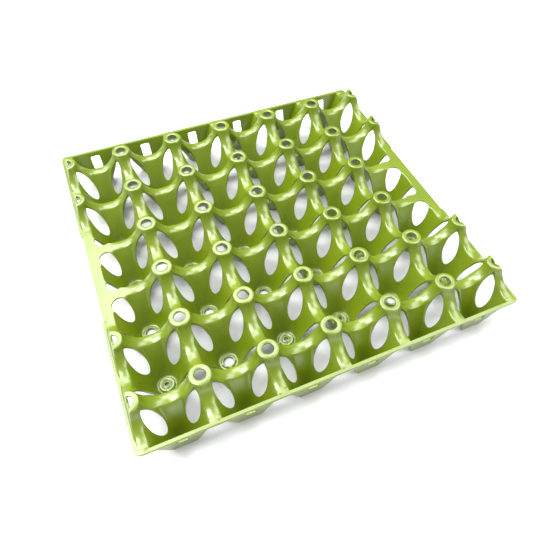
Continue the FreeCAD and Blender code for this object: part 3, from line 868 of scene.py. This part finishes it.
def make_plastic():
    """Glossy lime green polypropylene: cloudy colour, fine flow marks, soft waviness and a few specks."""
    material = bpy.data.materials.new("lime_plastic")
    material.use_nodes = True
    tree = material.node_tree
    shader = tree.nodes["Principled BSDF"]
    shader.inputs["IOR"].default_value = 1.49
    shader.inputs["Specular IOR Level"].default_value = 1.0
    shader.inputs["Specular Tint"].default_value = (1.0, 1.0, 0.95, 1.0)
    place = tree.nodes.new("ShaderNodeTexCoord")

    cloud = noise_node(tree, place, 28.0, 3.0)
    ramp = tree.nodes.new("ShaderNodeValToRGB")
    ramp.color_ramp.elements[0].position = 0.30
    ramp.color_ramp.elements[0].color = PLASTIC_DARK
    ramp.color_ramp.elements[1].position = 0.72
    ramp.color_ramp.elements[1].color = PLASTIC_LIGHT
    link(tree, cloud, "Fac", ramp, "Fac")

    speck = tree.nodes.new("ShaderNodeTexVoronoi")
    speck.inputs["Scale"].default_value = 95.0
    link(tree, place, "Object", speck, "Vector")
    size = range_node(tree, speck, "Distance", 1.0, 0.0, 0.035, 0.075)
    rare = tree.nodes.new("ShaderNodeSeparateColor")
    link(tree, speck, "Color", rare, "Color")
    chosen = range_node(tree, rare, "Red", 0.0, 0.55, 0.93, 0.97)
    amount = tree.nodes.new("ShaderNodeMath")
    amount.operation = "MULTIPLY"
    link(tree, size, "Result", amount, 0)
    link(tree, chosen, "Result", amount, 1)
    mix = tree.nodes.new("ShaderNodeMix")
    mix.data_type = "RGBA"
    socket = {item.identifier: item for item in mix.inputs}
    tree.links.new(amount.outputs["Value"], socket["Factor_Float"])
    tree.links.new(ramp.outputs["Color"], socket["A_Color"])
    socket["B_Color"].default_value = SPECK_COLOUR
    result = [item for item in mix.outputs if item.identifier == "Result_Color"][0]
    tree.links.new(result, shader.inputs["Base Color"])

    smear = noise_node(tree, place, 60.0, 4.0, 0.6)
    rough = range_node(tree, smear, "Fac", 0.24, 0.34)
    link(tree, rough, "Result", shader, "Roughness")

    wave = noise_node(tree, place, 45.0, 1.0)
    grain = noise_node(tree, place, 1400.0, 2.0)
    first = tree.nodes.new("ShaderNodeBump")
    first.inputs["Strength"].default_value = 0.06
    first.inputs["Distance"].default_value = 0.0006
    link(tree, wave, "Fac", first, "Height")
    second = tree.nodes.new("ShaderNodeBump")
    second.inputs["Strength"].default_value = 0.12
    second.inputs["Distance"].default_value = 0.00006
    link(tree, grain, "Fac", second, "Height")
    link(tree, first, "Normal", second, "Normal")
    link(tree, second, "Normal", shader, "Normal")
    return material


def make_floor_material():
    material = bpy.data.materials.new("white_table")
    material.use_nodes = True
    shader = material.node_tree.nodes["Principled BSDF"]
    shader.inputs["Base Color"].default_value = TABLE_COLOUR
    shader.inputs["Roughness"].default_value = 0.7
    return material


# ---------------------------------------------------------------- camera, lights and floor
CAMERA_PLACE = (-0.0997, -0.2670, 0.3454)
CAMERA_AZIMUTH = math.radians(-25.92)
CAMERA_ELEVATION = math.radians(54.24)
CAMERA_ROLL = math.radians(2.42)
CAMERA_LENS = 31.73
CAMERA_SHIFT = (-0.0354, 0.0016)

KEY_POWER = 22.0             # the strongest softbox; the others have a share of it
SOFTBOX_DISTANCE, SOFTBOX_SIZE = 1.2, 0.7
HIGH, LOW = math.radians(60), math.radians(35)      # how far above the table the softboxes stand
EIGHTH = math.radians(45)    # an eighth of a turn around the tray, from +X
ROOM_LIGHT = 0.32
TABLE_SIZE = 6.0


def make_camera():
    """The camera looks down on the tray from the front left."""
    data = bpy.data.cameras.new("camera")
    data.sensor_width = 36.0
    data.lens = CAMERA_LENS
    data.shift_x, data.shift_y = CAMERA_SHIFT
    camera = bpy.data.objects.new("camera", data)
    back = Vector((math.sin(CAMERA_AZIMUTH) * math.cos(CAMERA_ELEVATION),
                   -math.cos(CAMERA_AZIMUTH) * math.cos(CAMERA_ELEVATION), math.sin(CAMERA_ELEVATION)))
    level = Vector((math.cos(CAMERA_AZIMUTH), math.sin(CAMERA_AZIMUTH), 0.0))
    up = back.cross(level)
    right = level * math.cos(CAMERA_ROLL) + up * math.sin(CAMERA_ROLL)
    up = back.cross(right)
    camera.matrix_world = Matrix((
        (right.x, up.x, back.x, CAMERA_PLACE[0]),
        (right.y, up.y, back.y, CAMERA_PLACE[1]),
        (right.z, up.z, back.z, CAMERA_PLACE[2]),
        (0.0, 0.0, 0.0, 1.0)))
    bpy.context.scene.collection.objects.link(camera)
    bpy.context.scene.camera = camera


def make_light(name, azimuth, elevation, power):
    """A square softbox that faces the tray's middle."""
    data = bpy.data.lights.new(name, "AREA")
    data.shape = "SQUARE"
    data.size = SOFTBOX_SIZE
    data.energy = power
    light = bpy.data.objects.new(name, data)
    level = math.cos(elevation)
    towards = Vector((math.cos(azimuth) * level, math.sin(azimuth) * level, math.sin(elevation)))
    light.location = towards * SOFTBOX_DISTANCE
    light.rotation_euler = towards.to_track_quat("Z", "Y").to_euler()
    bpy.context.scene.collection.objects.link(light)


def make_surroundings():
    """A pale table under a soft studio light: a strong softbox high on the left and weaker ones around."""
    bpy.ops.mesh.primitive_grid_add(x_subdivisions=8, y_subdivisions=8, size=TABLE_SIZE)
    floor = bpy.context.object
    floor.name = "table"
    floor.data.materials.append(make_floor_material())
    world = bpy.data.worlds.new("studio")
    world.use_nodes = True
    background = world.node_tree.nodes["Background"]
    background.inputs["Color"].default_value = (1.0, 1.0, 1.0, 1.0)
    background.inputs["Strength"].default_value = ROOM_LIGHT
    bpy.context.scene.world = world
    make_light("key_left", 4 * EIGHTH, HIGH, KEY_POWER)
    make_light("rear", 2 * EIGHTH, HIGH, 0.6 * KEY_POWER)
    make_light("right", 0.0, HIGH, 0.4 * KEY_POWER)
    make_light("front_right", -EIGHTH, LOW, 0.4 * KEY_POWER)
    make_light("rear_left", 3 * EIGHTH, LOW, 0.35 * KEY_POWER)
    bpy.context.scene.view_settings.view_transform = "Standard"


make_camera()
make_surroundings()
PLASTIC = make_plastic()
make_cups()
make_pockets()
make_deck()
make_rims()
